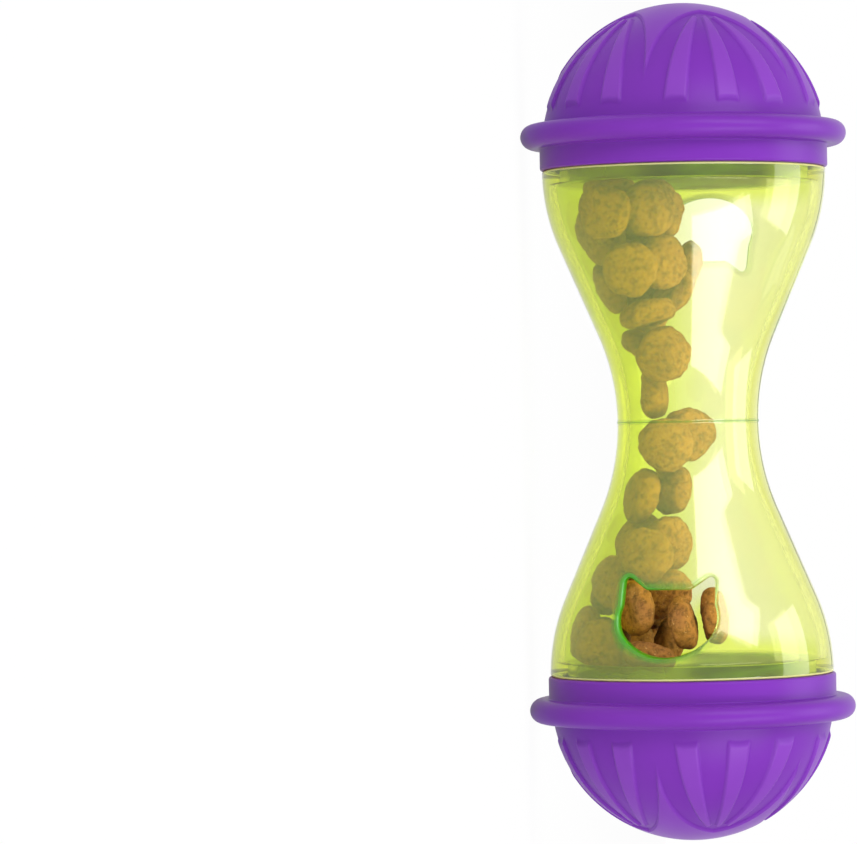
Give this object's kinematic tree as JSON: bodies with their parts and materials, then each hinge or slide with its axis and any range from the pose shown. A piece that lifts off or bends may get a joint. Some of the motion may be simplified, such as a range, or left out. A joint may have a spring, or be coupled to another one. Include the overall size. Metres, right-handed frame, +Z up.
{
  "type": "cat treat dispenser toy",
  "caption": "Hourglass treat dispenser for cats: a clear tube with cat-head windows holds dry treats between two domed caps with bumper rings.",
  "frame": {"origin": "on the floor, straight under the middle of the tube's waist", "axes": "+X along the tube's axis towards the cap beside the front window, +Z up, the front window faces -Y; the toy lies on its two bumper rings"},
  "size_m": [0.165, 0.064, 0.0641],
  "materials": {
    "tube_plastic": "gloss",
    "cap_plastic": "satin",
    "treat": "matte"
  },
  "bodies": {
    "tube_body": {"tube": "tube_plastic", "treat_01": "treat", "treat_02": "treat", "treat_03": "treat", "treat_04": "treat", "treat_05": "treat", "treat_06": "treat", "treat_07": "treat", "treat_08": "treat", "treat_09": "treat", "treat_10": "treat", "treat_11": "treat", "treat_12": "treat", "treat_13": "treat", "treat_14": "treat", "treat_15": "treat", "treat_16": "treat", "treat_17": "treat", "treat_18": "treat", "treat_19": "treat", "treat_20": "treat", "treat_21": "treat", "treat_22": "treat", "treat_23": "treat", "treat_24": "treat", "treat_25": "treat", "treat_26": "treat", "treat_27": "treat", "treat_28": "treat", "treat_29": "treat", "treat_30": "treat", "treat_31": "treat", "treat_32": "treat", "treat_33": "treat", "treat_34": "treat", "treat_35": "treat", "treat_36": "treat", "treat_37": "treat", "treat_38": "treat", "treat_39": "treat", "treat_40": "treat", "treat_41": "treat", "treat_42": "treat", "treat_43": "treat", "treat_44": "treat", "treat_45": "treat", "treat_46": "treat", "treat_47": "treat", "treat_48": "treat"},
    "cap_right_body": {"cap_right": "cap_plastic"},
    "cap_left_body": {"cap_left": "cap_plastic"}
  },
  "joints": [
    {"name": "cap_right_pull", "type": "slide", "parent": "tube_body", "child": "cap_right_body", "axis": [1, 0, 0], "range_m": [0, 0.04]},
    {"name": "cap_left_pull", "type": "slide", "parent": "tube_body", "child": "cap_left_body", "axis": [-1, 0, 0], "range_m": [0, 0.04]}
  ]
}
